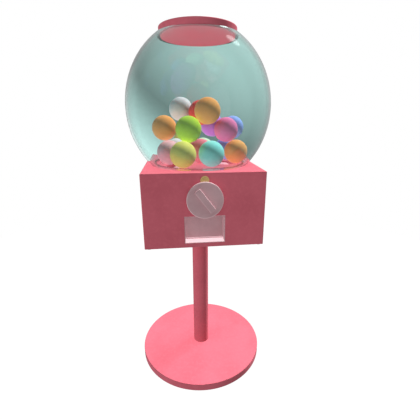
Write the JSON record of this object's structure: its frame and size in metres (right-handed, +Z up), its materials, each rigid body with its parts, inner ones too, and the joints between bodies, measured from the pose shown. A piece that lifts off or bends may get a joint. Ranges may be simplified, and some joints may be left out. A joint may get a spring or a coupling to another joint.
{
  "type": "gumball machine",
  "caption": "Pedestal gumball machine: round base, pole, square cabinet with coin dial, flap chute and cash drawer, geared dispensing wheel, glass globe of gumballs and lift-off lid.",
  "frame": {"origin": "on the floor, under the middle of the round base", "axes": "+Z up along the pole; the dial and chute face -Y; +X is to the right of someone facing the front"},
  "size_m": [0.3, 0.3, 0.751],
  "materials": {
    "pink_paint": "smooth satin pink powder coat",
    "pale_pink_plastic": "smooth pale greyish pink moulding",
    "globe_glass": "clear glass with a mint green tint",
    "coin_brass": "dull gold",
    "zinc_steel": "plain zinc plate",
    "cast_socket": "raw casting",
    "soft_rubber": "matt black",
    "pink_moulding": "pink moulding, the colour of the cabinet",
    "gear_plastic": "natural nylon",
    "yellow_candy": "smooth sugar shell",
    "cyan_candy": "smooth sugar shell",
    "pink_candy": "smooth sugar shell",
    "orange_candy": "smooth sugar shell",
    "rose_candy": "smooth sugar shell",
    "white_candy": "smooth sugar shell",
    "mint_candy": "smooth sugar shell",
    "blue_candy": "smooth sugar shell",
    "green_candy": "smooth sugar shell",
    "magenta_candy": "smooth sugar shell",
    "purple_candy": "smooth sugar shell",
    "red_candy": "smooth sugar shell"
  },
  "bodies": {
    "machine": {"ball_guard": "pink_moulding", "base_bolt": "zinc_steel", "base_casting": "pink_paint", "base_feet": "soft_rubber", "base_washer": "zinc_steel", "bracket_nuts": "zinc_steel", "cabinet_floor": "pink_paint", "cabinet_shell": "pink_paint", "chute_bezel": "pale_pink_plastic", "chute_ramp": "pale_pink_plastic", "coin_ramp": "zinc_steel", "deck_posts": "zinc_steel", "deck_screws": "zinc_steel", "drawer_guide": "zinc_steel", "face_plate": "pale_pink_plastic", "flap_pin": "zinc_steel", "floor_screws": "zinc_steel", "globe": "globe_glass", "globe_gasket": "soft_rubber", "globe_seat": "pink_paint", "gumballs_blue": "blue_candy", "gumballs_cyan": "cyan_candy", "gumballs_green": "green_candy", "gumballs_magenta": "magenta_candy", "gumballs_mint": "mint_candy", "gumballs_orange": "orange_candy", "gumballs_pink": "pink_candy", "gumballs_purple": "purple_candy", "gumballs_red": "red_candy", "gumballs_rose": "rose_candy", "gumballs_white": "white_candy", "gumballs_yellow": "yellow_candy", "pole_bolt": "zinc_steel", "pole_plugs": "zinc_steel", "pole_socket": "cast_socket", "pole_tube": "pink_paint", "seat_nuts": "zinc_steel", "shaft_bracket": "zinc_steel", "shaft_bush": "coin_brass", "socket_screws": "zinc_steel", "spindle_nut": "zinc_steel", "wheel_deck": "zinc_steel", "wheel_spindle": "zinc_steel"},
    "dial": {"dial": "pale_pink_plastic", "dial_grip": "pale_pink_plastic", "dial_shaft": "zinc_steel", "coin_wheel": "gear_plastic", "drive_pinion": "gear_plastic", "shaft_clip": "zinc_steel"},
    "coin": {"coin": "coin_brass"},
    "wheel": {"dispensing_wheel": "pink_moulding", "crown_gear": "gear_plastic", "gumballs_in_wheel": "pink_candy"},
    "flap": {"chute_flap": "pale_pink_plastic"},
    "lid": {"lid_cap": "pink_paint", "lid_plug": "pink_paint", "lid_seal": "soft_rubber"},
    "drawer": {"cash_drawer": "pink_paint", "drawer_pull": "pink_paint"}
  },
  "joints": [
    {"name": "dial_turn", "type": "hinge", "parent": "machine", "child": "dial", "pos_m": [0, -0.123, 0.438], "axis": [0, 1, 0], "continuous": true},
    {"name": "wheel_turn", "type": "hinge", "parent": "machine", "child": "wheel", "pos_m": [0, 0, 0.46], "axis": [0, 0, 1], "continuous": true},
    {"name": "flap_swing", "type": "hinge", "parent": "machine", "child": "flap", "pos_m": [0, -0.1004, 0.4006], "axis": [-1, 0, 0], "range_deg": [0, 85]},
    {"name": "lid_lift", "type": "slide", "parent": "machine", "child": "lid", "axis": [0, 0, 1], "range_m": [0, 0.12]},
    {"name": "drawer_slide", "type": "slide", "parent": "machine", "child": "drawer", "axis": [0, 1, 0], "range_m": [0, 0.15]},
    {"name": "coin_lift", "type": "slide", "parent": "machine", "child": "coin", "axis": [0, 0, 1], "range_m": [0, 0.03]}
  ],
  "couplings": [
    {"joint": "wheel_turn", "follows": "dial_turn", "ratio": 0.2}
  ]
}
